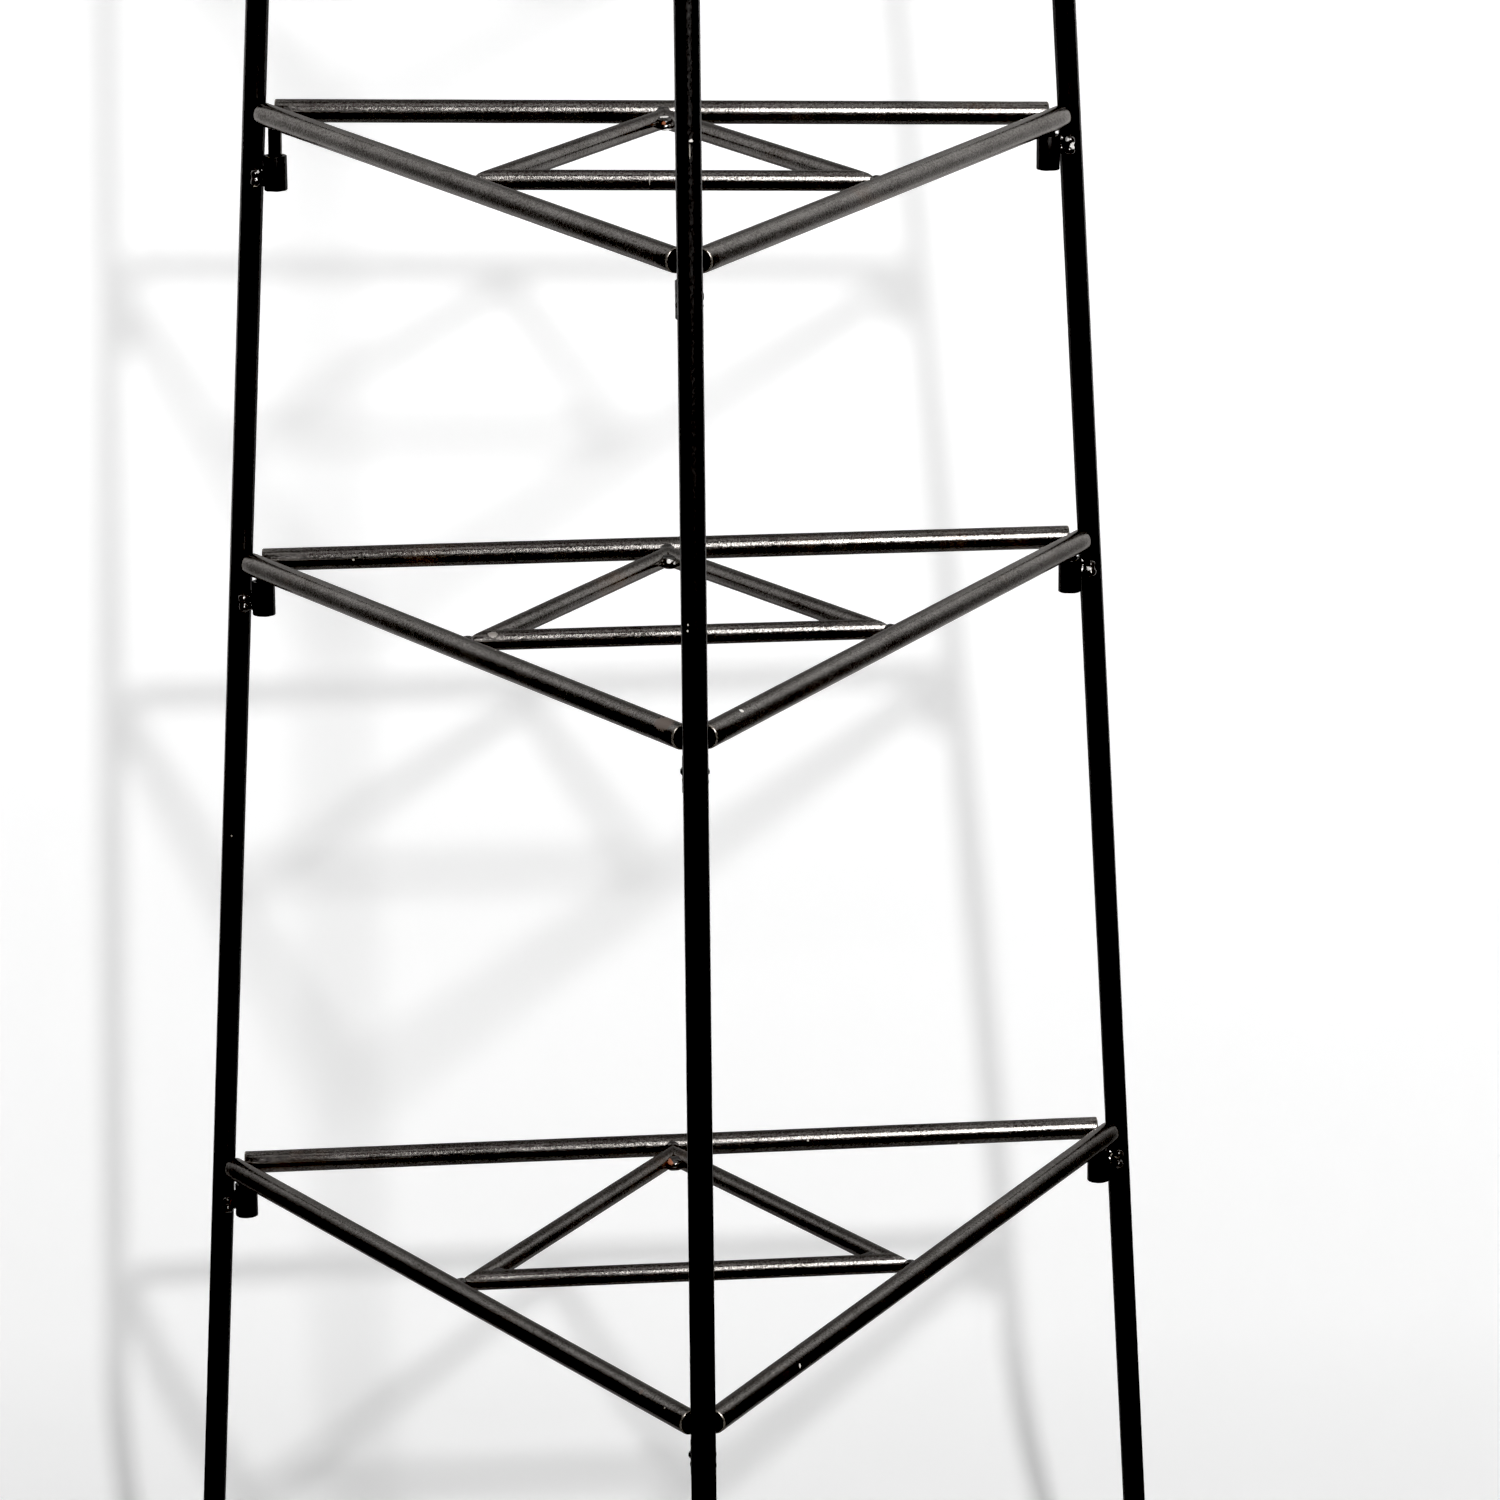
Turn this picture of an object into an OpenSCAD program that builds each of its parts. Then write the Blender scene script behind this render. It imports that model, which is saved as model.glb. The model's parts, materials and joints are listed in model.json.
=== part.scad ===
// Knock-down tiered stand: three leaning legs of round bar, held together by four
// triangular shelf frames. Each shelf drops three pins into sleeves welded to the legs.
// Millimetres, +Z up, standing on z = 0.

/* [Legs] */
// Diameter of the leg bar
leg_d = 12; // [9:0.5:16]
// Distance from the stand's centre line to a leg's centre line at the floor
foot_r = 301; // [250:0.5:400]
// Inward lean of each leg in degrees
leg_lean = 3.85; // [2:0.05:5]
// Length of leg that stands up past the top shelf
leg_overrun = 55; // [20:1:150]
// Rounding of the upper cut end of a leg
leg_edge = 1.2; // [0.5:0.1:2]

/* [Shelf heights] */
// Floor to the lower shelf, at the bars' centres
lower_height = 334; // [200:1:420]
// Lower shelf to the middle shelf
lower_bay = 334; // [200:1:420]
// Middle shelf to the upper shelf
middle_bay = 228; // [150:1:300]
// Upper shelf to the top shelf
upper_bay = 228; // [150:1:300]

/* [Hand-fitted corners] */
// Lower shelf, how far each corner sits off level: front, right, left
lower_lift = [5.5, 2, -7.5]; // [-10:0.5:10]
// Middle shelf, the same
middle_lift = [3, 1, -4]; // [-10:0.5:10]
// Upper shelf, the same
upper_lift = [-4.5, -1.5, 6]; // [-10:0.5:10]
// Top shelf, the same
top_lift = [0, 0, 0]; // [-10:0.5:10]
// How much lower than its corner the left sleeve of the upper shelf was welded
low_sleeve_drop = 12; // [0:0.5:12]

/* [Shelf bars] */
// Diameter of the three outer rails
rail_d = 12; // [8:0.5:16]
// Gap left between the ends of two rails at a corner
rail_gap = 0.3; // [0.1:0.1:2]
// Least gap between a rail's cut end and the leg
leg_gap = 2.8; // [1:0.1:6]
// Diameter of the three braces of the inner triangle
brace_d = 10; // [6:0.5:14]
// Gap between the inner triangle's points and the rails
tip_gap = 1.5; // [0.5:0.1:4]
// Gap in each mitred corner of the inner triangle
mitre_gap = 0.1; // [0.05:0.05:1]
// Worn edge around a rail's cut end
rail_edge = 0.8; // [0.3:0.1:2]

/* [Pins and sleeves] */
// Diameter of a shelf's pins
pin_d = 7; // [5:0.5:9]
// Gap all round a pin in its sleeve
pin_clearance = 0.5; // [0.3:0.05:1]
// Wall of a sleeve
sleeve_wall = 2; // [1.5:0.1:4]
// Height of a sleeve
sleeve_h = 18; // [12:0.5:30]
// How far a pin stops short of its sleeve's lower end
pin_tail = 0.5; // [0:0.5:4]
// Least gap between a sleeve and its leg
sleeve_gap = 1.2; // [0.8:0.1:3]

/* [Welds] */
// Height of the weld collar on a pin, which seats on the sleeve's rim
collar_h = 3.5; // [2:0.1:6]
// How far the collar stands out from the pin
collar_out = 1.5; // [1:0.1:2]
// Gap between a collar and the sleeve it seats on
seat_gap = 0.3; // [0.3:0.05:1]
// Radius of the weld beads between a sleeve and its leg
bead_r = 2.8; // [2.4:0.1:4]
// How far to each side the beads lie
bead_out = 3.6; // [3:0.1:5]
// Length of the weld beads between a sleeve and its leg
bead_h = 11; // [6:0.5:14]
// Radius of the weld at each point of the inner triangle
tip_weld_r = 3; // [2:0.1:4]
// Height of the weld at each point of the inner triangle
tip_weld_h = 7; // [4:0.5:9]

/* [Hidden] */
$fn = 64;
TIERS = ["lower", "middle", "upper", "top"];
CORNERS = ["front", "right", "left"];
CORNER_ANGLES = [-90, 30, 150];
RAILS = ["rear", "left", "right"];
RAIL_ANGLES = [90, 210, 330];
BRACES = ["front", "right", "left"];
BRACE_ANGLES = [-90, 30, 150];

// Shelf heights, from the floor up
tier_z = [
    lower_height,
    lower_height + lower_bay,
    lower_height + lower_bay + middle_bay,
    lower_height + lower_bay + middle_bay + upper_bay
];
leg_len = (tier_z[3] + leg_overrun) / cos(leg_lean);
function leg_r(z) = foot_r - z * tan(leg_lean);

// Half the height-wise slice of a leg, along its lean
leg_half = leg_d / 2 / cos(leg_lean);
// The box around the three feet is centred on the origin
front_reach = foot_r + leg_half;
rear_reach = foot_r / 2 + norm([leg_half * sin(30), leg_d / 2 * cos(30)]);
centre_y = (front_reach - rear_reach) / 2;

// The rails' centre lines meet on the legs' centre lines
rail_in = [for (z = tier_z) leg_r(z) / 2];
rail_back = max(rail_d / 2 * tan(60) + rail_gap, leg_d / 2 + leg_gap);
function rail_len(t) = 2 * (rail_in[t] * tan(60) - rail_back);
// The inner triangle's points reach the middles of the rails
function brace_in(t) = (rail_in[t] - rail_d / 2 - tip_gap) / 2 - brace_d / 2;

// Each shelf is a flat frame, tipped so that its corners sit at their own heights
corner_lift = [lower_lift, middle_lift, upper_lift, top_lift];
function mean_lift(t) = (corner_lift[t] * [1, 1, 1]) / 3;
function shelf_z(t) = tier_z[t] + mean_lift(t);
function tip_x(t) = atan((mean_lift(t) - corner_lift[t][0]) / leg_r(tier_z[t]));
function tip_y(t) = -atan((corner_lift[t][1] - corner_lift[t][2]) / (2 * leg_r(tier_z[t]) * cos(30)));
function turned_x(a, p) = [p[0], p[1] * cos(a) - p[2] * sin(a), p[1] * sin(a) + p[2] * cos(a)];
function turned_y(b, p) = [p[0] * cos(b) + p[2] * sin(b), p[1], p[2] * cos(b) - p[0] * sin(b)];

// Pins hang square to their shelf, just inside the corner that the rails' ends make
sleeve_r = pin_d / 2 + pin_clearance + sleeve_wall;
collar_r = pin_d / 2 + collar_out;
seat_drop = rail_d / 2 + collar_h;
pin_in = max(rail_back / cos(30), leg_half + sleeve_r + sleeve_gap - seat_drop * tan(leg_lean));
pin_drop = seat_drop + sleeve_h - pin_tail;
function pin_at(t) = leg_r(tier_z[t]) - pin_in;
// A point on a pin's centre line, so far under its shelf, in the stand's own frame
function on_pin(t, c, drop) = [0, centre_y, shelf_z(t)] + turned_y(tip_y(t), turned_x(tip_x(t),
    [pin_at(t) * cos(CORNER_ANGLES[c]), pin_at(t) * sin(CORNER_ANGLES[c]), -drop]));

// A sleeve stands upright, centred on the stretch of pin that it holds
function low_drop(t, c) = (TIERS[t] == "upper" && CORNERS[c] == "left") ? low_sleeve_drop : 0;
function rim_drop(t, c) = seat_drop + low_drop(t, c);
function sleeve_top(t, c) = on_pin(t, c, rim_drop(t, c))[2] - seat_gap;
function sleeve_mid(t, c) = let (p = on_pin(t, c, (rim_drop(t, c) + pin_drop) / 2))
    [p[0], p[1], sleeve_top(t, c) - sleeve_h / 2];
function leg_point(c, z) =
    [leg_r(z) * cos(CORNER_ANGLES[c]), centre_y + leg_r(z) * sin(CORNER_ANGLES[c]), z];
// From a sleeve's middle straight across to its leg
function to_leg(t, c) = leg_point(c, sleeve_mid(t, c)[2]) - sleeve_mid(t, c);

steel_black = "#232123";
steel_worn = "#39373a";
weld_brown = "#4a3a30";

module round_bar(d, length, edge) {
    r = d / 2;
    h = length / 2;
    rotate_extrude()
        polygon([[0, -h], [r - edge, -h], [r, edge - h], [r, h - edge], [r - edge, h], [0, h]]);
}

// Turns +X outward along a leg's or a rail's direction, about the stand's centre line
module facing(angle) {
    translate([0, centre_y, 0]) rotate([0, 0, angle]) children();
}

// One leaning bar, running a little way below the floor
module leg_bar() {
    translate([foot_r, 0, 0]) rotate([0, -leg_lean, 0])
        translate([0, 0, (leg_len - leg_d) / 2]) round_bar(leg_d, leg_len + leg_d, leg_edge);
}

module leg(c) {
    color(steel_black) facing(CORNER_ANGLES[c]) difference() {
        leg_bar();
        translate([foot_r, 0, -2 * leg_d]) cube(4 * leg_d, center = true);
    }
}

module sleeve_bar(t, c) {
    translate(sleeve_mid(t, c)) cylinder(h = sleeve_h, r = sleeve_r, center = true);
}

module sleeve(t, c) {
    color(steel_black) difference() {
        sleeve_bar(t, c);
        translate(sleeve_mid(t, c))
            cylinder(h = 2 * sleeve_h, r = pin_d / 2 + pin_clearance, center = true);
    }
}

module bead() {
    reach = bead_h / 2 - bead_r;
    cylinder(h = 2 * reach, r = bead_r, center = true);
    for (end = [-reach, reach]) translate([0, 0, end]) sphere(r = bead_r);
}

// Two beads beside each sleeve, in the creases that it makes with the leg
module sleeve_welds(c) {
    color(weld_brown) for (t = [0:3]) difference() {
        across = to_leg(t, c);
        translate(sleeve_mid(t, c)) rotate([0, 0, atan2(across[1], across[0])])
            for (side = [-1, 1]) translate([norm(across) / 2, side * bead_out, 0]) bead();
        facing(CORNER_ANGLES[c]) leg_bar();
        sleeve_bar(t, c);
    }
}

module on_shelf(t) {
    translate([0, centre_y, shelf_z(t)]) rotate([tip_x(t), tip_y(t), 0]) children();
}

module rail_shape(t, r) {
    rotate([0, 0, RAIL_ANGLES[r]]) translate([rail_in[t], 0, 0])
        rotate([90, 0, 0]) round_bar(rail_d, rail_len(t), rail_edge);
}

module rail(t, r) {
    color(steel_worn) on_shelf(t) rail_shape(t, r);
}

module brace_shape(t, b) {
    reach = brace_in(t) + brace_d;
    rotate([0, 0, BRACE_ANGLES[b]]) intersection() {
        translate([brace_in(t), 0, 0]) rotate([90, 0, 0])
            cylinder(h = 4 * reach, d = brace_d, center = true);
        translate([mitre_gap / 2 / sin(60), 0, -brace_d]) linear_extrude(2 * brace_d)
            polygon([[0, 0], [reach, -reach * tan(60)], [reach, reach * tan(60)]]);
    }
}

module brace(t, b) {
    color(steel_worn) on_shelf(t) brace_shape(t, b);
}

module pin_shape(t, c) {
    rotate([0, 0, CORNER_ANGLES[c]]) translate([pin_at(t), 0, -pin_drop])
        cylinder(h = pin_drop - rail_d / 2, d = pin_d);
}

module pin(t, c) {
    color(steel_black) on_shelf(t) pin_shape(t, c);
}

// Collars that join pins to rails, and posts that join the inner triangle to the rails
module shelf_welds(t) {
    color(weld_brown) on_shelf(t) {
        difference() {
            for (a = CORNER_ANGLES) rotate([0, 0, a]) translate([pin_at(t), 0, -seat_drop])
                cylinder(h = collar_h + rail_d / 4, r = collar_r);
            for (i = [0:2]) {
                pin_shape(t, i);
                rail_shape(t, i);
            }
        }
        difference() {
            for (a = RAIL_ANGLES) rotate([0, 0, a])
                translate([rail_in[t] - rail_d / 2 - tip_gap, 0, 0])
                    cylinder(h = tip_weld_h, r = tip_weld_r, center = true);
            for (i = [0:2]) {
                rail_shape(t, i);
                brace_shape(t, i);
            }
        }
    }
}

for (c = [0:2]) {
    leg(c);
    sleeve_welds(c);
}
for (t = [0:3]) {
    for (i = [0:2]) {
        sleeve(t, i);
        rail(t, i);
        brace(t, i);
        pin(t, i);
    }
    shelf_welds(t);
}
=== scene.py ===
import json
import math
import random

import bmesh
import bpy
import numpy as np
from mathutils import Matrix, Vector, noise

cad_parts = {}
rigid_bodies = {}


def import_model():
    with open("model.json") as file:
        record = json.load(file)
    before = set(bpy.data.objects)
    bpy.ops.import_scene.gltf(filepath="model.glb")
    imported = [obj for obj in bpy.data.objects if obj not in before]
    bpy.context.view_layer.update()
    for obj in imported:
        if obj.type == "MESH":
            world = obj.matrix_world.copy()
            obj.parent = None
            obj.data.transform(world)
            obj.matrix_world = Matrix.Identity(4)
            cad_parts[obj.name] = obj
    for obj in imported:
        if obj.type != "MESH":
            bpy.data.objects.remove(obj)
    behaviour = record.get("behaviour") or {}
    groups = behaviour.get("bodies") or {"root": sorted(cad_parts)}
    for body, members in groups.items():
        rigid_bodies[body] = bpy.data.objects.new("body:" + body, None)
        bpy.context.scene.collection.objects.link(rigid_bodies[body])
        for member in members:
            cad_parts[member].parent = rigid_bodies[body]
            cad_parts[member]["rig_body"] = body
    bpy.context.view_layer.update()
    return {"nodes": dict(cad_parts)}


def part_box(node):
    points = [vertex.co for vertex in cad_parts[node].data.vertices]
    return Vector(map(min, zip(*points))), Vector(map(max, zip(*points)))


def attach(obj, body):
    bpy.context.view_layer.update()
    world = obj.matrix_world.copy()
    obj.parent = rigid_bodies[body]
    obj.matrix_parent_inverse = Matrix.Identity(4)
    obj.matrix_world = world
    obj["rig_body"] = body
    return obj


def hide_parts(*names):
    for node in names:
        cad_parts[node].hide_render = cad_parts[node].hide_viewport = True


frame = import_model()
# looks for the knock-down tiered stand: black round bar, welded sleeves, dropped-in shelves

scene = bpy.context.scene
nodes = frame["nodes"]
tiers = ("lower", "middle", "upper", "top")
corners = ("front", "right", "left")
railSides = ("rear", "left", "right")
together = 1e-6  # metres, under which two points are one

# the view, from standing height and well back
cameraSet = {
    "place": (-0.0962, -2.8088, 1.4266),
    "yaw": -0.04617,  # radians, turning left of +Y
    "pitch": -0.28114,  # looking down at the shelves
    "roll": 0.00639,
    "lens": 142.52,
    "sensor": 36.0,
    "farthest": 60.0,
    "black": 0.013,  # a hard, contrasty print
}


def hangCamera(way):
    yaw, pitch, roll = way["yaw"], way["pitch"], way["roll"]
    ahead = Vector((-math.sin(yaw) * math.cos(pitch), math.cos(yaw) * math.cos(pitch), math.sin(pitch)))
    level = Vector((math.cos(yaw), math.sin(yaw), 0))
    rise = level.cross(ahead)
    side = math.cos(roll) * level - math.sin(roll) * rise
    rise = math.sin(roll) * level + math.cos(roll) * rise
    turn = Matrix((side, rise, -ahead)).transposed()
    data = bpy.data.cameras.new("camera")
    data.lens = way["lens"]
    data.sensor_width = way["sensor"]
    data.clip_end = way["farthest"]
    camera = bpy.data.objects.new("camera", data)
    camera.matrix_world = Matrix.Translation(way["place"]) @ turn.to_4x4()
    scene.collection.objects.link(camera)
    scene.camera = camera


hangCamera(cameraSet)
scene.view_settings.view_transform = "Standard"
scene.view_settings.use_curve_mapping = True
scene.view_settings.curve_mapping.black_level = (cameraSet["black"],) * 3
print("camera hung")


class Board:
    # a node tree with short ways to place and wire nodes
    def __init__(self, tree):
        self.tree = tree

    def add(self, kind, where=None, **settings):
        made = self.tree.nodes.new(kind)
        for key, value in settings.items():
            setattr(made, key, value)
        for socket, value in (where or {}).items():
            self.feed(made.inputs[socket], value)
        return made

    def feed(self, socket, value):
        if isinstance(value, bpy.types.NodeSocket):
            self.tree.links.new(value, socket)
        else:
            socket.default_value = value

    def sum(self, operation, *values):
        made = self.add("ShaderNodeMath", operation=operation)
        for i, value in enumerate(values):
            self.feed(made.inputs[i], value)
        return made.outputs[0]

    def spread(self, value, low, high, toLow=0.0, toHigh=1.0):
        made = self.add("ShaderNodeMapRange", {0: value, 1: low, 2: high, 3: toLow, 4: toHigh})
        made.clamp = True
        return made.outputs[0]

    def blend(self, amount, first, second, kind="MIX"):
        made = self.add("ShaderNodeMix", data_type="RGBA", blend_type=kind)
        self.feed(made.inputs[0], amount)
        self.feed(made.inputs[6], first)
        self.feed(made.inputs[7], second)
        return made.outputs[2]

    def grain(self, vector, scale, detail=2.0, rough=0.5):
        return self.add("ShaderNodeTexNoise", {"Vector": vector, "Scale": scale, "Detail": detail,
                                               "Roughness": rough}).outputs[0]


def newGroup(name, takes, gives):
    tree = bpy.data.node_groups.new(name, "ShaderNodeTree")
    for label, kind, value in takes:
        socket = tree.interface.new_socket(name=label, in_out="INPUT", socket_type="NodeSocket" + kind)
        if value is not None:
            socket.default_value = value
    for label in gives:
        tree.interface.new_socket(name=label, in_out="OUTPUT", socket_type="NodeSocketFloat")
    board = Board(tree)
    return board, board.add("NodeGroupInput").outputs, board.add("NodeGroupOutput").inputs


def useGroup(board, tree, **values):
    made = board.add("ShaderNodeGroup", node_tree=tree)
    for label, value in values.items():
        board.feed(made.inputs[label], value)
    return made.outputs


# fine mottle of sprayed enamel over drawn bar; the shares are the fine grain's part of the whole
mottleWays = {
    "fine": (3.0, 0.65), "broad": (4.0, 0.6), "span": (0.25, 0.75), "shadeShare": 0.65, "heightShare": 0.7,
}


def makeMottle(way=mottleWays):
    board, given, out = newGroup("sprayMottle", [("Place", "Vector", None), ("Fine", "Float", 900.0),
                                                 ("Broad", "Float", 35.0)], ["Shade", "Height"])
    fine = board.grain(given["Place"], given["Fine"], *way["fine"])
    broad = board.grain(given["Place"], given["Broad"], *way["broad"])
    rest = board.sum("MULTIPLY", broad, 1 - way["shadeShare"])
    shade = board.sum("MULTIPLY_ADD", board.spread(fine, *way["span"]), way["shadeShare"], rest)
    board.feed(out["Shade"], shade)
    rest = board.sum("MULTIPLY", broad, 1 - way["heightShare"])
    board.feed(out["Height"], board.sum("MULTIPLY_ADD", fine, way["heightShare"], rest))
    return board.tree


# scattered dust and small chips
def makeSpecks():
    board, given, out = newGroup("dustSpecks", [("Place", "Vector", None), ("Cells", "Float", 120.0),
                                                ("Share", "Float", 0.1), ("Size", "Float", 0.12)], ["Mask"])
    cell = board.add("ShaderNodeTexVoronoi", {"Vector": given["Place"], "Scale": given["Cells"]})
    pick = board.add("ShaderNodeSeparateColor", {0: cell.outputs["Color"]}).outputs[0]
    chosen = board.sum("LESS_THAN", pick, given["Share"])
    near = board.sum("LESS_THAN", cell.outputs["Distance"], given["Size"])
    board.feed(out["Mask"], board.sum("MULTIPLY", chosen, near))
    return board.tree


# paint rubbed thin where two faces meet
rubWays = {"scale": 700.0, "grain": (3.0, 0.7), "full": 0.75}


def makeRub(way=rubWays):
    board, given, out = newGroup("rubbedEdge", [("Place", "Vector", None), ("Wear", "Float", 0.0),
                                                ("Bite", "Float", 0.5)], ["Mask"])
    ragged = board.grain(given["Place"], way["scale"], *way["grain"])
    limit = board.sum("SUBTRACT", 1.0, given["Bite"])
    board.feed(out["Mask"], board.sum("MULTIPLY", given["Wear"], board.spread(ragged, limit, way["full"])))
    return board.tree


# brown bloom, where damp has got under the paint or a weld was hot
bloomWays = {
    "patchGrain": (5.0, 0.7), "crumbScale": 1100.0, "crumbGrain": (2.0, 0.6), "edge": 0.14,
    "crumbSpan": (0.3, 0.7), "crumbShade": (0.35, 1.0),
}


def makeBloom(way=bloomWays):
    board, given, out = newGroup("brownBloom", [("Place", "Vector", None), ("Patch", "Float", 30.0),
                                                ("Reach", "Float", 0.5)], ["Mask"])
    patch = board.grain(given["Place"], given["Patch"], *way["patchGrain"])
    crumbs = board.grain(given["Place"], way["crumbScale"], *way["crumbGrain"])
    start = board.sum("SUBTRACT", 1.0, given["Reach"])
    patchy = board.spread(patch, start, board.sum("ADD", start, way["edge"]))
    broken = board.spread(crumbs, *way["crumbSpan"], *way["crumbShade"])
    board.feed(out["Mask"], board.sum("MULTIPLY", patchy, broken))
    return board.tree


# saw lines across a cut face
sawWays = {"Scale": 420.0, "Distortion": 3.0, "Detail": 2.0}


def makeSawLines(way=sawWays):
    board, given, out = newGroup("sawLines", [("Place", "Vector", None)], ["Height"])
    lines = board.add("ShaderNodeTexWave", {"Vector": given["Place"], **way},
                      wave_type="BANDS", bands_direction="Z")
    board.feed(out["Height"], lines.outputs["Fac"])
    return board.tree


sprayMottle = makeMottle()
dustSpecks = makeSpecks()
rubbedEdge = makeRub()
brownBloom = makeBloom()
sawLines = makeSawLines()

# colours of each finish, and its chips as (where, how big, which colour); on the weld skin the pale and
# dust-coloured chips are painted glints, where the beads catch the lamps
finishes = {
    "legPaint": {
        "dark": (0.0012, 0.0010, 0.0011), "light": (0.0050, 0.0036, 0.0033), "brown": (0.022, 0.009, 0.006),
        "bare": (0.40, 0.34, 0.24), "dustAndGlint": (0.34, 0.31, 0.27), "paleChipAndGlint": (0.90, 0.86, 0.80),
        "cutPaintedShade": 0.5,
        "fine": 900.0, "broad": 28.0, "stretch": (1.0, 1.0, 0.6), "reach": 0.40, "patch": 22.0,
        "chipsAndGlints": (((0.0010, -0.1678, 0.9489), (0.0012, 0.0030, 0.0009), "paleChipAndGlint"),
                  ((0.0004, -0.1682, 0.9440), (0.00035, 0.0030, 0.0046), "dustAndGlint"),
                  ((-0.0029, -0.1821, 0.7274), (0.0005, 0.0020, 0.0007), "paleChipAndGlint"),
                  ((-0.0031, -0.1821, 0.7245), (0.0005, 0.0020, 0.0007), "paleChipAndGlint")),
        "gloss": (0.24, 0.38), "bump": 0.00010, "ior": 1.45, "tint": (1.0, 0.97, 0.95),
        "flake": (0.4, 0.0), "bite": 0.42, "cells": 95.0, "share": 0.05, "speck": 0.05,
    },
    "shelfPaint": {
        "dark": (0.0018, 0.0015, 0.0013), "light": (0.030, 0.0240, 0.0190), "brown": (0.070, 0.036, 0.017),
        "bare": (0.42, 0.38, 0.33), "dustAndGlint": (0.50, 0.47, 0.40), "paleChipAndGlint": (0.92, 0.89, 0.84),
        "scrape": (0.20, 0.18, 0.16), "cutPaintedShade": 0.05,
        "fine": 950.0, "broad": 40.0, "stretch": (1.0, 1.0, 1.0), "reach": 0.42, "patch": 18.0,
        "chipsAndGlints": (((0.0230, -0.1466, 0.6761), (0.0018, 0.0018, 0.0011), "paleChipAndGlint"),
                  ((0.0500, -0.1281, 0.3402), (0.0007, 0.0014, 0.0017), "paleChipAndGlint"),
                  ((-0.0123, 0.0191, 0.8967), (0.00035, 0.0060, 0.0040), "scrape"),
                  ((-0.0142, -0.1631, 0.6756), (0.0085, 0.0085, 0.0040), "brown"),
                  ((-0.0281, -0.1625, 0.3427), (0.0018, 0.0018, 0.0014), "brown"),
                  ((-0.0920, 0.0167, 0.6714), (0.0030, 0.0050, 0.0016), "scrape")),
        "gloss": (0.10, 0.27), "bump": 0.00010, "ior": 2.35, "tint": (1.0, 0.95, 0.91),
        "flake": (0.85, 0.0), "bite": 0.85, "cells": 110.0, "share": 0.05, "speck": 0.07,
    },
    "weldSkin": {
        "dark": (0.003, 0.0025, 0.0022), "light": (0.024, 0.018, 0.014), "brown": (0.42, 0.12, 0.035),
        "bare": (0.30, 0.25, 0.20), "dustAndGlint": (0.50, 0.45, 0.36), "paleChipAndGlint": (0.95, 0.93, 0.90),
        "cutPaintedShade": 1.0,
        "fine": 500.0, "broad": 120.0, "stretch": (1.0, 1.0, 1.0), "reach": 0.34, "patch": 75.0,
        # painted glints: pale patches where the weld beads catch the lamps
        "chipsAndGlints": (((0.2064, 0.1880, 0.8828), (0.0016, 0.0150, 0.0013), "paleChipAndGlint"),
                  ((0.2100, 0.1880, 0.8795), (0.0024, 0.0150, 0.0022), "paleChipAndGlint"),
                  ((0.2198, 0.1950, 0.6542), (0.0028, 0.0150, 0.0014), "paleChipAndGlint"),
                  ((0.2219, 0.1960, 0.6477), (0.0018, 0.0150, 0.0013), "paleChipAndGlint"),
                  # a painted glint in dust colour
                  ((0.2387, 0.2060, 0.3216), (0.0022, 0.0150, 0.0013), "dustAndGlint"),
                  ((-0.2060, 0.1878, 0.8720), (0.0018, 0.0150, 0.0010), "paleChipAndGlint"),
                  # a painted glint in dust colour
                  ((-0.2085, 0.1890, 0.8640), (0.0015, 0.0150, 0.0009), "dustAndGlint"),
                  ((-0.0003, 0.1660, 0.9017), (0.0038, 0.0130, 0.0012), "paleChipAndGlint"),
                  ((-0.0005, 0.1611, 0.8987), (0.0013, 0.0100, 0.0013), "brown"),
                  ((0.0015, 0.1617, 0.8948), (0.0030, 0.0130, 0.0011), "paleChipAndGlint"),
                  ((0.0000, 0.1678, 0.6681), (0.0014, 0.0100, 0.0013), "paleChipAndGlint"),
                  ((0.0034, 0.1693, 0.6669), (0.0013, 0.0100, 0.0012), "paleChipAndGlint"),
                  ((-0.0021, 0.1800, 0.3338), (0.0017, 0.0100, 0.0017), "brown")),
        "gloss": (0.10, 0.24), "bump": 0.00002, "ior": 1.8, "tint": (1.0, 0.98, 0.96),
        "flake": (0.1, 0.0), "bite": 0.50, "cells": 200.0, "share": 0.03, "speck": 0.10,
    },
}


# spans of the mottle that turn to flake and gloss, and the heights that feed the bump
coatWays = {
    "flakeSpan": (0.3, 0.7), "glossSpan": (0.2, 0.8), "spotRough": 0.6, "sawHeight": 0.8, "dustHeight": 1.5,
}


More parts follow.
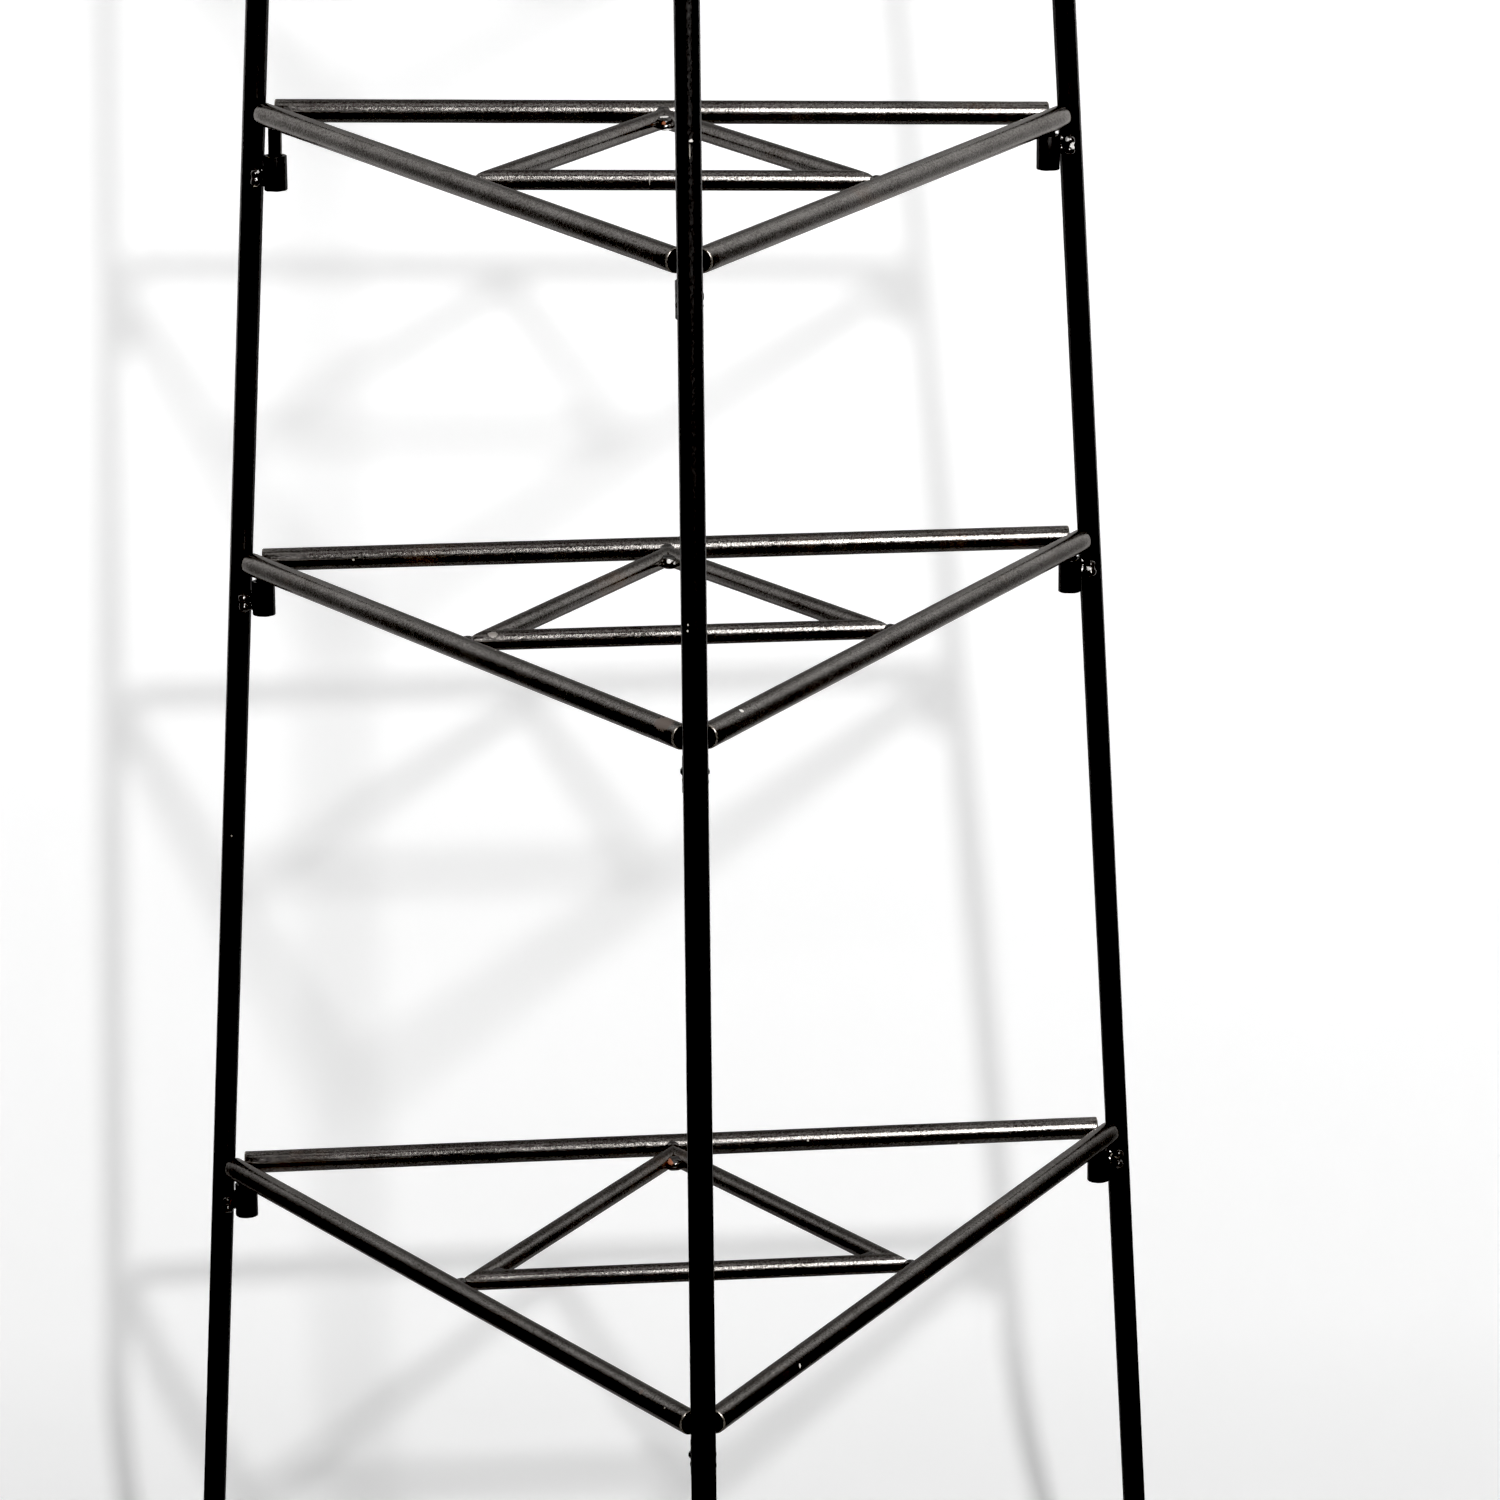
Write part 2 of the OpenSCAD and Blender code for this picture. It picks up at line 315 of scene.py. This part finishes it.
def makeFinish(name, way, coat=coatWays):
    material = bpy.data.materials.new(name)
    material.use_nodes = True
    board = Board(material.node_tree)
    board.tree.nodes.clear()
    place = board.add("ShaderNodeTexCoord").outputs["Object"]
    drawn = board.add("ShaderNodeMapping", {"Vector": place, "Scale": way["stretch"]}).outputs[0]
    mottle = useGroup(board, sprayMottle, Place=drawn, Fine=way["fine"], Broad=way["broad"])
    specks = useGroup(board, dustSpecks, Place=place, Cells=way["cells"], Share=way["share"],
                      Size=way["speck"])
    bloom = useGroup(board, brownBloom, Place=place, Patch=way["patch"], Reach=way["reach"])
    wear = board.add("ShaderNodeAttribute", attribute_name="wear").outputs["Fac"]
    cut = board.add("ShaderNodeAttribute", attribute_name="cut").outputs["Fac"]
    rub = useGroup(board, rubbedEdge, Place=place, Wear=wear, Bite=way["bite"])
    saw = useGroup(board, sawLines, Place=place)

    colour = board.blend(mottle["Shade"], (*way["dark"], 1), (*way["light"], 1))
    colour = board.blend(bloom["Mask"], colour, (*way["brown"], 1))
    # cut end faces darkened: painted shade, as the ends face away from the lamps
    shadedCutColour = board.blend(1.0, colour, (way["cutPaintedShade"],) * 3 + (1,), "MULTIPLY")
    colour = board.blend(cut, colour, shadedCutColour)
    colour = board.blend(rub["Mask"], colour, (*way["bare"], 1))
    colour = board.blend(specks["Mask"], colour, (*way["dustAndGlint"], 1))
    spots = specks["Mask"]
    # chips and scrapes, and on the welds painted glints, laid over the colour
    for spot, size, tint in way["chipsAndGlints"]:
        chipAndGlint = chipAndGlintMask(board, place, spot, size)
        colour = board.blend(chipAndGlint, colour, (*way[tint], 1))
        spots = board.sum("MAXIMUM", spots, chipAndGlint)
    metal = board.spread(mottle["Shade"], *coat["flakeSpan"], *way["flake"])
    metal = board.sum("MAXIMUM", rub["Mask"], metal)
    metal = board.sum("MULTIPLY", metal, board.sum("SUBTRACT", 1.0, spots))
    rough = board.spread(mottle["Shade"], *coat["glossSpan"], *way["gloss"])
    rough = board.sum("MAXIMUM", rough, board.sum("MULTIPLY", spots, coat["spotRough"]))
    sawn = board.sum("MULTIPLY", saw["Height"], cut)
    height = board.sum("MULTIPLY_ADD", sawn, coat["sawHeight"], mottle["Height"])
    height = board.sum("MULTIPLY_ADD", specks["Mask"], coat["dustHeight"], height)
    bump = board.add("ShaderNodeBump", {"Strength": 1.0, "Distance": way["bump"], "Height": height})
    shader = board.add("ShaderNodeBsdfPrincipled", {"Base Color": colour, "Roughness": rough,
                                                    "Metallic": metal, "IOR": way["ior"],
                                                    "Specular Tint": (*way["tint"], 1),
                                                    "Normal": bump.outputs[0]})
    board.add("ShaderNodeOutputMaterial", {"Surface": shader.outputs[0]})
    return material


# a knocked spot, a scrape, and on the welds a painted glint, each as a small ragged patch
chipAndGlintWays = {"grain": 900.0, "ragged": 0.8, "fades": (1.25, 1.05)}


def chipAndGlintMask(board, place, spot, size, way=chipAndGlintWays):
    offset = board.add("ShaderNodeVectorMath", {0: place, 1: spot}, operation="SUBTRACT").outputs[0]
    shaped = board.add("ShaderNodeVectorMath", {0: offset, 1: size}, operation="DIVIDE").outputs[0]
    far = board.add("ShaderNodeVectorMath", {0: shaped}, operation="LENGTH").outputs["Value"]
    ragged = board.sum("MULTIPLY_ADD", board.grain(place, way["grain"]), way["ragged"], far)
    return board.spread(ragged, *way["fades"])


paints = {name: makeFinish(name, way) for name, way in finishes.items()}
slotPaint = {"leg_paint": "legPaint", "shelf_paint": "shelfPaint", "weld_metal": "weldSkin"}
print("finishes mixed")


# how far a face's normal may lean, as a cosine, and still be wall or cap
stockWays = {"roughWall": 0.3, "wall": 0.05, "cap": 0.3, "upright": 0.5}


def stockOf(node, way=stockWays):
    # axis, middle, radius and both end planes of a bar, from its CAD mesh
    mesh = nodes[node].data
    points = np.array([v.co for v in mesh.vertices])
    faces = np.array([p.normal for p in mesh.polygons])
    areas = np.array([p.area for p in mesh.polygons])
    rough = points[np.argmax(np.linalg.norm(points - points.mean(0), axis=1))] - points.mean(0)
    rough /= np.linalg.norm(rough)
    wall = np.abs(faces @ rough) < way["roughWall"]
    axis = np.linalg.svd(faces[wall] * np.sqrt(areas[wall])[:, None])[2][2]
    if axis[2] < -way["upright"] or (abs(axis[2]) < way["upright"] and axis @ rough < 0):
        axis = -axis
    wall = np.abs(faces @ axis) < way["wall"]
    rim = points[sorted({i for p, onWall in zip(mesh.polygons, wall) if onWall for i in p.vertices})]
    across = np.linalg.svd(axis[None, :])[2][1:]
    flat = rim @ across.T
    fit = np.linalg.lstsq(np.c_[2 * flat, np.ones(len(flat))], (flat**2).sum(1), rcond=None)[0]
    radius = math.sqrt(fit[2] + fit[0] ** 2 + fit[1] ** 2)
    along = points @ axis
    middle = fit[:2] @ across + axis * (along.min() + along.max()) / 2
    ends = []
    for end in (-1, 1):
        capped = faces @ axis * end > way["cap"]
        normal = (faces[capped] * areas[capped][:, None]).sum(0)
        normal /= np.linalg.norm(normal)
        ends.append((Vector(normal * (points @ normal).max()), Vector(normal)))
    return {"axis": Vector(axis), "middle": Vector(middle), "radius": radius,
            "length": along.max() - along.min(), "ends": ends}


def islandsOf(node):
    # boxes of the separate lumps in a CAD node
    bm = bmesh.new()
    bm.from_mesh(nodes[node].data)
    bmesh.ops.remove_doubles(bm, verts=bm.verts, dist=together)
    left, boxes = set(bm.verts), []
    while left:
        group, edge = [], [left.pop()]
        while edge:
            vert = edge.pop()
            group.append(vert.co.copy())
            for link in vert.link_edges:
                other = link.other_vert(vert)
                if other in left:
                    left.remove(other)
                    edge.append(other)
        low = Vector([min(p[i] for p in group) for i in range(3)])
        high = Vector([max(p[i] for p in group) for i in range(3)])
        boxes.append((low, high))
    bm.free()
    return sorted(boxes, key=lambda box: tuple(box[0]))  # so each draw always lands on the same lump


def finishPiece(bm, name, node, slot, sharp=35):
    mesh = bpy.data.meshes.new(name)
    for face in bm.faces:
        face.smooth = True
    bm.to_mesh(mesh)
    bm.free()
    mesh.set_sharp_from_angle(angle=math.radians(sharp))
    piece = bpy.data.objects.new(name, mesh)
    scene.collection.objects.link(piece)
    mesh.materials.append(paints[slotPaint[slot]])
    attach(piece, nodes[node]["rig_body"])
    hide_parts(node)
    return piece


barWays = {
    "sides": 56,
    "ringGap": 0.011,  # metres between the rings that carry the unevenness
    "uneven": 0.00006,
    "waves": 70,  # of the unevenness, in a metre
    "capInset": 0.0007,
    "capDish": 0.00012,
    "edgeSteps": 4,
    "spare": 4,  # radii of extra length, cut off at the end planes
    "capCorners": 8,  # a face with more corners than this is a cut end
}


def makeBar(name, node, slot, edges, way=barWays):
    # edges are the worn roundings at the lower or first end, and at the other
    stock = stockOf(node)
    bm = bmesh.new()
    wear = bm.faces.layers.float.new("wear")
    cut = bm.faces.layers.float.new("cut")
    depth = stock["length"] + way["spare"] * stock["radius"]
    bmesh.ops.create_cone(bm, cap_ends=False, segments=way["sides"], radius1=stock["radius"],
                          radius2=stock["radius"], depth=depth)
    runs = [e for e in bm.edges if abs(e.verts[0].co.z - e.verts[1].co.z) > depth / 2]
    bmesh.ops.subdivide_edges(bm, edges=runs, cuts=int(depth / way["ringGap"]), use_grid_fill=True)
    turn = Vector((0, 0, 1)).rotation_difference(stock["axis"]).to_matrix().to_4x4()
    bmesh.ops.transform(bm, matrix=Matrix.Translation(stock["middle"]) @ turn, verts=bm.verts)
    for vert in bm.verts:
        out = vert.co - stock["middle"]
        out = (out - stock["axis"] * out.dot(stock["axis"])).normalized()
        vert.co += out * way["uneven"] * noise.noise(vert.co * way["waves"])
    for (spot, normal), edge in zip(stock["ends"], edges):
        shell = bm.verts[:] + bm.edges[:] + bm.faces[:]
        sliced = bmesh.ops.bisect_plane(bm, geom=shell, plane_co=spot, plane_no=normal, clear_outer=True)
        rim = [e for e in sliced["geom_cut"] if isinstance(e, bmesh.types.BMEdge)]
        bmesh.ops.edgeloop_fill(bm, edges=rim)
        rounded = bmesh.ops.bevel(bm, geom=rim, offset=edge, offset_type="OFFSET", affect="EDGES",
                                  segments=way["edgeSteps"], profile=0.5, material=-1, clamp_overlap=True)
        for face in rounded["faces"]:
            face[wear] = 1.0
    caps = [f for f in bm.faces if len(f.verts) > way["capCorners"]]
    bmesh.ops.inset_region(bm, faces=caps, thickness=way["capInset"], depth=-way["capDish"],
                           use_even_offset=True)
    for face in bm.faces:
        if len(face.verts) > way["capCorners"]:
            face[cut] = 1.0
            for edge in face.edges:
                for ring in edge.link_faces:
                    ring[cut] = 1.0
    bmesh.ops.recalc_face_normals(bm, faces=bm.faces)
    return finishPiece(bm, name, node, slot)


sleeveWays = {
    "steps": 72, "edge": 0.00045, "edgeSteps": 3,
    "round": 0.00001,  # metres that a rim may stray from a circle
    "burr": 0.00018, "burrWaves": 300,
}


def makeSleeve(name, node, way=sleeveWays):
    low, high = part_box(node)
    middle = (low + high) / 2
    outer = (high.x - low.x) / 2
    bore = min((v.co - middle).xy.length for v in nodes[node].data.vertices)
    bm = bmesh.new()
    wear = bm.faces.layers.float.new("wear")
    square = [bm.verts.new((middle.x + r, middle.y, z)) for r, z in
              ((bore, low.z), (outer, low.z), (outer, high.z), (bore, high.z))]
    sides = [bm.edges.new((square[i], square[(i + 1) % 4])) for i in range(4)]
    bmesh.ops.spin(bm, geom=square + sides, cent=middle, axis=(0, 0, 1), angle=2 * math.pi,
                   steps=way["steps"], use_merge=True, use_duplicate=False)
    bmesh.ops.remove_doubles(bm, verts=bm.verts, dist=together)
    bmesh.ops.recalc_face_normals(bm, faces=bm.faces)
    rims = []
    for edge in bm.edges:
        first, second = (v.co - middle for v in edge.verts)
        if abs(first.z - second.z) < together and abs(first.xy.length - second.xy.length) < way["round"]:
            rims.append(edge)
    rounded = bmesh.ops.bevel(bm, geom=rims, offset=way["edge"], offset_type="OFFSET", affect="EDGES",
                              segments=way["edgeSteps"], profile=0.5, material=-1, clamp_overlap=True)
    for face in rounded["faces"]:
        face[wear] = 1.0
    for vert in bm.verts:  # the saw left the rims a little uneven
        if vert.co.z < middle.z:
            vert.co.z += way["burr"] * (0.5 + noise.noise(vert.co * way["burrWaves"]))
    return finishPiece(bm, name, node, "leg_paint")


# welds run by hand, as lumps melted together
meltWays = {"voxel": 0.0004, "smoothings": 2, "softly": 0.5, "sharp": 80}
lumpWays = {"fineness": 4, "waves": 1.6, "drift": (7.3, 3.1, 1.7), "seeds": (0, 90)}


def addLump(bm, spot, size, draw, rough, way=lumpWays):
    lump = bmesh.ops.create_icosphere(bm, subdivisions=way["fineness"], radius=1.0)["verts"]
    seed = draw.uniform(*way["seeds"])
    shift = Vector([seed * step for step in way["drift"]])
    for vert in lump:
        swell = 1 + rough * noise.noise(vert.co * way["waves"] + shift)
        vert.co = Vector(spot) + Vector([vert.co[i] * swell * size[i] for i in range(3)])


def meltLumps(bm, name, way=meltWays):
    # run overlapping lumps together into one skin
    mesh = bpy.data.meshes.new(name + "Raw")
    bm.to_mesh(mesh)
    bm.free()
    raw = bpy.data.objects.new(name + "Raw", mesh)
    scene.collection.objects.link(raw)
    melt = raw.modifiers.new("melt", "REMESH")
    melt.mode = "VOXEL"
    melt.voxel_size = way["voxel"]
    bpy.context.view_layer.update()
    whole = bpy.data.meshes.new_from_object(raw.evaluated_get(bpy.context.evaluated_depsgraph_get()))
    bpy.data.objects.remove(raw)
    skin = bmesh.new()
    skin.from_mesh(whole)
    for _ in range(way["smoothings"]):
        bmesh.ops.smooth_vert(skin, verts=skin.verts, factor=way["softly"], use_axis_x=True, use_axis_y=True,
                              use_axis_z=True)
    return skin


# two lumps a bead; the lap is how far a corner's beads spread onto its leg
beadWays = {
    "lumps": 2, "spread": 0.42, "rise": 0.0012, "wander": 0.0006, "wide": (0.95, 1.25), "tall": 0.52,
    "rough": 0.14,
    "lap": {"front": (0, 0, 0), "right": (0.0028, -0.0020, 0.0022), "left": (-0.0022, -0.0006, -0.0036)},
}


def makeSleeveWelds(corner, way=beadWays):
    node = "sleeve_welds_" + corner
    draw = random.Random("sleeve" + corner)
    bm = bmesh.new()
    for low, high in islandsOf(node):
        middle, half = (low + high) / 2, (high - low) / 2
        reach = half.z * way["spread"]
        for i in range(way["lumps"]):
            up = reach * (2 * i / (way["lumps"] - 1) - 1)
            wide = draw.uniform(*way["wide"])
            lift = up + way["rise"] + draw.uniform(-way["wander"], way["wander"])
            spot = middle + Vector((0, 0, lift)) + Vector(way["lap"][corner])
            addLump(bm, spot, (half.x * wide, half.y * wide, half.z * way["tall"]), draw, way["rough"])
    name = "sleeveWelds" + corner.capitalize()
    return finishPiece(meltLumps(bm, name), name, node, "weld_metal", meltWays["sharp"])


def cornerOf(first, second):
    # where two braces' centre lines pass closest
    a, b = first["axis"], second["axis"]
    gap = second["middle"] - first["middle"]
    lean = a.dot(b)
    along = (gap.dot(a) - gap.dot(b) * lean) / (1 - lean * lean)
    return first["middle"] + a * along


# sizes of the tip and collar lumps are shares of the CAD weld's half size
tipWays = {
    "widest": 0.0042, "lifts": (-0.35, 0.35), "wander": 0.0005, "wide": 1.15, "tall": 0.62, "rough": 0.14,
    "apexLift": 0.8, "apexForward": 0.0022,
}
collarWays = {
    "lumps": 5, "stagger": 0.2, "ring": 0.34, "top": 0.95, "wide": 0.54, "tall": 0.82, "rough": 0.10,
}
filletWays = {
    "inward": 0.0130, "wander": (-0.0008, 0.0006), "size": (0.0048, 0.0048, 0.0026), "rise": 0.0011,
    "rough": 0.14,
}


def makeShelfWelds(tier, tip=tipWays, collar=collarWays, fillet=filletWays):
    node = tier + "_shelf_welds"
    draw = random.Random("shelf" + tier)
    bm = bmesh.new()
    for low, high in islandsOf(node):
        middle, half = (low + high) / 2, (high - low) / 2
        if half.x < tip["widest"]:  # a tip weld, between the inner triangle and a rail
            size = (half.x * tip["wide"], half.y * tip["wide"], half.z * tip["tall"])
            apex = (tip["apexLift"],) if abs(middle.x) < half.x else ()
            for lift in tip["lifts"] + apex:
                forward = tip["apexForward"] if lift in apex else 0
                up = lift * half.z + draw.uniform(-tip["wander"], tip["wander"])
                addLump(bm, middle + Vector((0, -forward, up)), size, draw, tip["rough"])
        else:  # a collar round a pin
            size = (half.x * collar["wide"], half.x * collar["wide"], half.z * collar["tall"])
            for turn in range(collar["lumps"]):
                stagger = draw.uniform(-collar["stagger"], collar["stagger"])
                angle = 2 * math.pi * (turn + stagger) / collar["lumps"]
                spot = middle + Vector((math.cos(angle), math.sin(angle), 0)) * half.x * collar["ring"]
                spot.z = high.z - half.z * collar["top"]
                addLump(bm, spot, size, draw, collar["rough"])
    braces = [stockOf(f"{tier}_brace_{corner}") for corner in corners]
    centre = sum((b["middle"] for b in braces), Vector()) / 3
    for i in range(3):
        spot = cornerOf(braces[i], braces[(i + 1) % 3])
        inward = (centre - spot).normalized()
        spot += inward * (fillet["inward"] + draw.uniform(*fillet["wander"]))
        for lift in (-1, 1):
            part = spot + Vector((0, 0, lift * fillet["rise"]))
            addLump(bm, part, fillet["size"], draw, fillet["rough"])
    name = tier + "ShelfWelds"
    return finishPiece(meltLumps(bm, name), name, node, "weld_metal", meltWays["sharp"])


# the stand itself; each pair of roundings is for a bar's first and last end
barEdges = {
    "leg": (0.0004, 0.0012),
    "rail": (0.0008, 0.0008),
    "brace": (0.00025, 0.00025),
    "pin": (0.0008, 0.0002),
}

for corner in corners:
    makeBar("leg" + corner.capitalize(), "leg_" + corner, "leg_paint", barEdges["leg"])
    makeSleeveWelds(corner)
print("legs stood")

for tier in tiers:
    for side in railSides:
        makeBar(tier + "Rail" + side.capitalize(), f"{tier}_rail_{side}", "shelf_paint", barEdges["rail"])
    for corner in corners:
        ending = corner.capitalize()
        makeBar(tier + "Brace" + ending, f"{tier}_brace_{corner}", "shelf_paint", barEdges["brace"])
        makeBar(tier + "Pin" + ending, f"{tier}_pin_{corner}", "shelf_paint", barEdges["pin"])
        makeSleeve(tier + "Sleeve" + ending, f"{tier}_sleeve_{corner}")
    makeShelfWelds(tier)
    print(tier, "shelf hung")

# sweep, lamps and the dark room in front of them
stageSet = {
    "wallAt": 0.508, "wallMeets": 0.8, "wallLean": 0.08, "coveRadius": 0.14, "coveSteps": 24, "wallTop": 3.2,
    "halfWidth": 4.5, "front": -6.0, "behind": 6.0, "rearDrop": 0.0005,
    "glow": (0.30, 0.52), "glowSpan": (0.05, 0.75), "paper": 0.8, "darkFloor": 0.02,
    "frontFlag": (0.35, -0.10), "sideFlag": (0.45, 0.98), "flagLean": 0.8, "flagFoot": 0.7,
    "centreFlag": (0.15, 0.45), "centreShare": 0.80, "fade": (1.15, 2.0), "far": 0.92,
}


def makeStage(way):
    foot = way["wallAt"] - way["wallLean"] * way["wallMeets"]
    top = way["wallAt"] + way["wallLean"] * (way["wallTop"] - way["wallMeets"])
    bm = bmesh.new()
    start = bm.verts.new((-way["halfWidth"], foot - way["coveRadius"], 0))
    hub = (-way["halfWidth"], foot - way["coveRadius"], way["coveRadius"])
    arc = bmesh.ops.spin(bm, geom=[start], cent=hub, axis=(1, 0, 0), angle=math.pi / 2,
                         steps=way["coveSteps"])
    last = [v for v in arc["geom_last"] if isinstance(v, bmesh.types.BMVert)][0]
    front = bm.verts.new((-way["halfWidth"], way["front"], 0))
    head = bm.verts.new((-way["halfWidth"], top, way["wallTop"]))
    bm.edges.new((front, start))
    bm.edges.new((last, head))
    swept = bmesh.ops.extrude_edge_only(bm, edges=bm.edges[:])
    moved = [v for v in swept["geom"] if isinstance(v, bmesh.types.BMVert)]
    bmesh.ops.translate(bm, verts=moved, vec=(2 * way["halfWidth"], 0, 0))
    bmesh.ops.recalc_face_normals(bm, faces=bm.faces)
    low = min(bm.faces, key=lambda f: f.calc_center_median().z)
    if low.normal.z < 0:
        bmesh.ops.reverse_faces(bm, faces=bm.faces)
    for face in bm.faces:
        face.smooth = True
    sweep = stageObject(bm, "sweep")
    bm = bmesh.new()
    bmesh.ops.create_grid(bm, x_segments=1, y_segments=1, size=1)
    start = foot - way["coveRadius"]
    shape = Matrix.Diagonal((way["halfWidth"], (way["behind"] - start) / 2, 1, 1))
    shape = Matrix.Translation((0, (start + way["behind"]) / 2, -way["rearDrop"])) @ shape
    bmesh.ops.transform(bm, matrix=shape, verts=bm.verts)
    rear = stageObject(bm, "rearFloor")
    paper = stagePaper(way)
    for item in (sweep, rear):
        item.data.materials.append(paper)


def stageObject(bm, name):
    mesh = bpy.data.meshes.new(name)
    bm.to_mesh(mesh)
    bm.free()
    item = bpy.data.objects.new(name, mesh)
    scene.collection.objects.link(item)
    return item


def stagePaper(way):
    # pale paper; flags darken its front, sides and middle in reflections, and its back is clear
    material = bpy.data.materials.new("palePaper")
    material.use_nodes = True
    board = Board(material.node_tree)
    board.tree.nodes.clear()
    place = board.add("ShaderNodeTexCoord").outputs["Object"]
    across, depth, height = board.add("ShaderNodeSeparateXYZ", {0: place}).outputs
    raised = board.sum("SUBTRACT", height, way["flagFoot"])
    aside = board.sum("MULTIPLY_ADD", raised, -way["flagLean"], board.sum("ABSOLUTE", across))
    flagged = board.sum("MAXIMUM", board.spread(depth, *way["frontFlag"]),
                        board.spread(aside, *way["sideFlag"]))
    centre = board.spread(board.sum("ABSOLUTE", across), *way["centreFlag"], way["centreShare"], 0.0)
    flagged = board.sum("MAXIMUM", flagged, centre)
    rays = board.add("ShaderNodeLightPath").outputs
    shine = board.spread(height, *way["glowSpan"], *way["glow"])
    glow = board.add("ShaderNodeEmission", {"Color": (1, 1, 1, 1), "Strength": shine})
    paper = board.add("ShaderNodeBsdfDiffuse", {"Color": (way["paper"],) * 3 + (1,)})
    both = board.add("ShaderNodeAddShader", {0: glow.outputs[0], 1: paper.outputs[0]})
    dark = board.add("ShaderNodeEmission", {"Color": (1, 1, 1, 1), "Strength": way["darkFloor"]})
    seen = board.sum("MULTIPLY", flagged, rays["Is Glossy Ray"])
    lit = board.add("ShaderNodeMixShader", {0: seen, 1: both.outputs[0], 2: dark.outputs[0]})
    reach = board.add("ShaderNodeVectorMath", {0: place}, operation="LENGTH").outputs["Value"]
    away = board.sum("MULTIPLY", board.spread(reach, *way["fade"]), rays["Is Camera Ray"])
    air = board.add("ShaderNodeEmission", {"Color": (1, 1, 1, 1), "Strength": way["far"]})
    lit = board.add("ShaderNodeMixShader", {0: away, 1: lit.outputs[0], 2: air.outputs[0]})
    back = board.add("ShaderNodeNewGeometry").outputs["Backfacing"]
    clear = board.add("ShaderNodeBsdfTransparent")
    done = board.add("ShaderNodeMixShader", {0: back, 1: lit.outputs[0], 2: clear.outputs[0]})
    board.add("ShaderNodeOutputMaterial", {"Surface": done.outputs[0]})
    return material


lampSet = {
    "key": {"shape": "DISK", "size": 0.22, "sizeY": 0.22, "power": 63.0, "place": (0.75, -2.80, 2.30),
            "aim": (0, 0.2, 0.75)},
    "tallSoftbox": {"shape": "RECTANGLE", "size": 0.80, "sizeY": 1.4, "power": 58.0,
                    "place": (0.52, -1.75, 2.10), "aim": (0.15, 0.0, 0.8), "glossOnly": True},
    "overhead": {"shape": "RECTANGLE", "size": 1.6, "sizeY": 1.0, "power": 6.0, "place": (0.1, -0.15, 2.7),
                 "aim": (0, 0.0, 0.7)},
}
roomSet = {"seen": 0.92, "above": 0.010, "below": 0.003, "horizon": (-0.05, 0.25)}


def hangLamps(lamps):
    for name, way in lamps.items():
        data = bpy.data.lights.new(name, "AREA")
        data.shape = way["shape"]
        data.size = way["size"]
        data.size_y = way["sizeY"]
        data.energy = way["power"]
        lamp = bpy.data.objects.new(name, data)
        lamp.location = way["place"]
        lamp.rotation_euler = (Vector(way["aim"]) - Vector(way["place"])).to_track_quat("-Z", "Y").to_euler()
        lamp.visible_camera = False
        lamp.visible_diffuse = "glossOnly" not in way
        scene.collection.objects.link(lamp)


def paintRoom(way):
    world = bpy.data.worlds.new("room")
    world.use_nodes = True
    board = Board(world.node_tree)
    board.tree.nodes.clear()
    place = board.add("ShaderNodeTexCoord").outputs["Generated"]
    height = board.add("ShaderNodeSeparateXYZ", {0: place}).outputs[2]
    level = board.spread(height, *way["horizon"], way["below"], way["above"])
    rays = board.add("ShaderNodeLightPath").outputs
    strength = board.sum("MULTIPLY_ADD", rays["Is Camera Ray"],
                         board.sum("SUBTRACT", way["seen"], level), level)
    air = board.add("ShaderNodeBackground", {"Color": (1, 1, 1, 1), "Strength": strength})
    board.add("ShaderNodeOutputWorld", {"Surface": air.outputs[0]})
    scene.world = world


makeStage(stageSet)
hangLamps(lampSet)
paintRoom(roomSet)
print("stage lit")
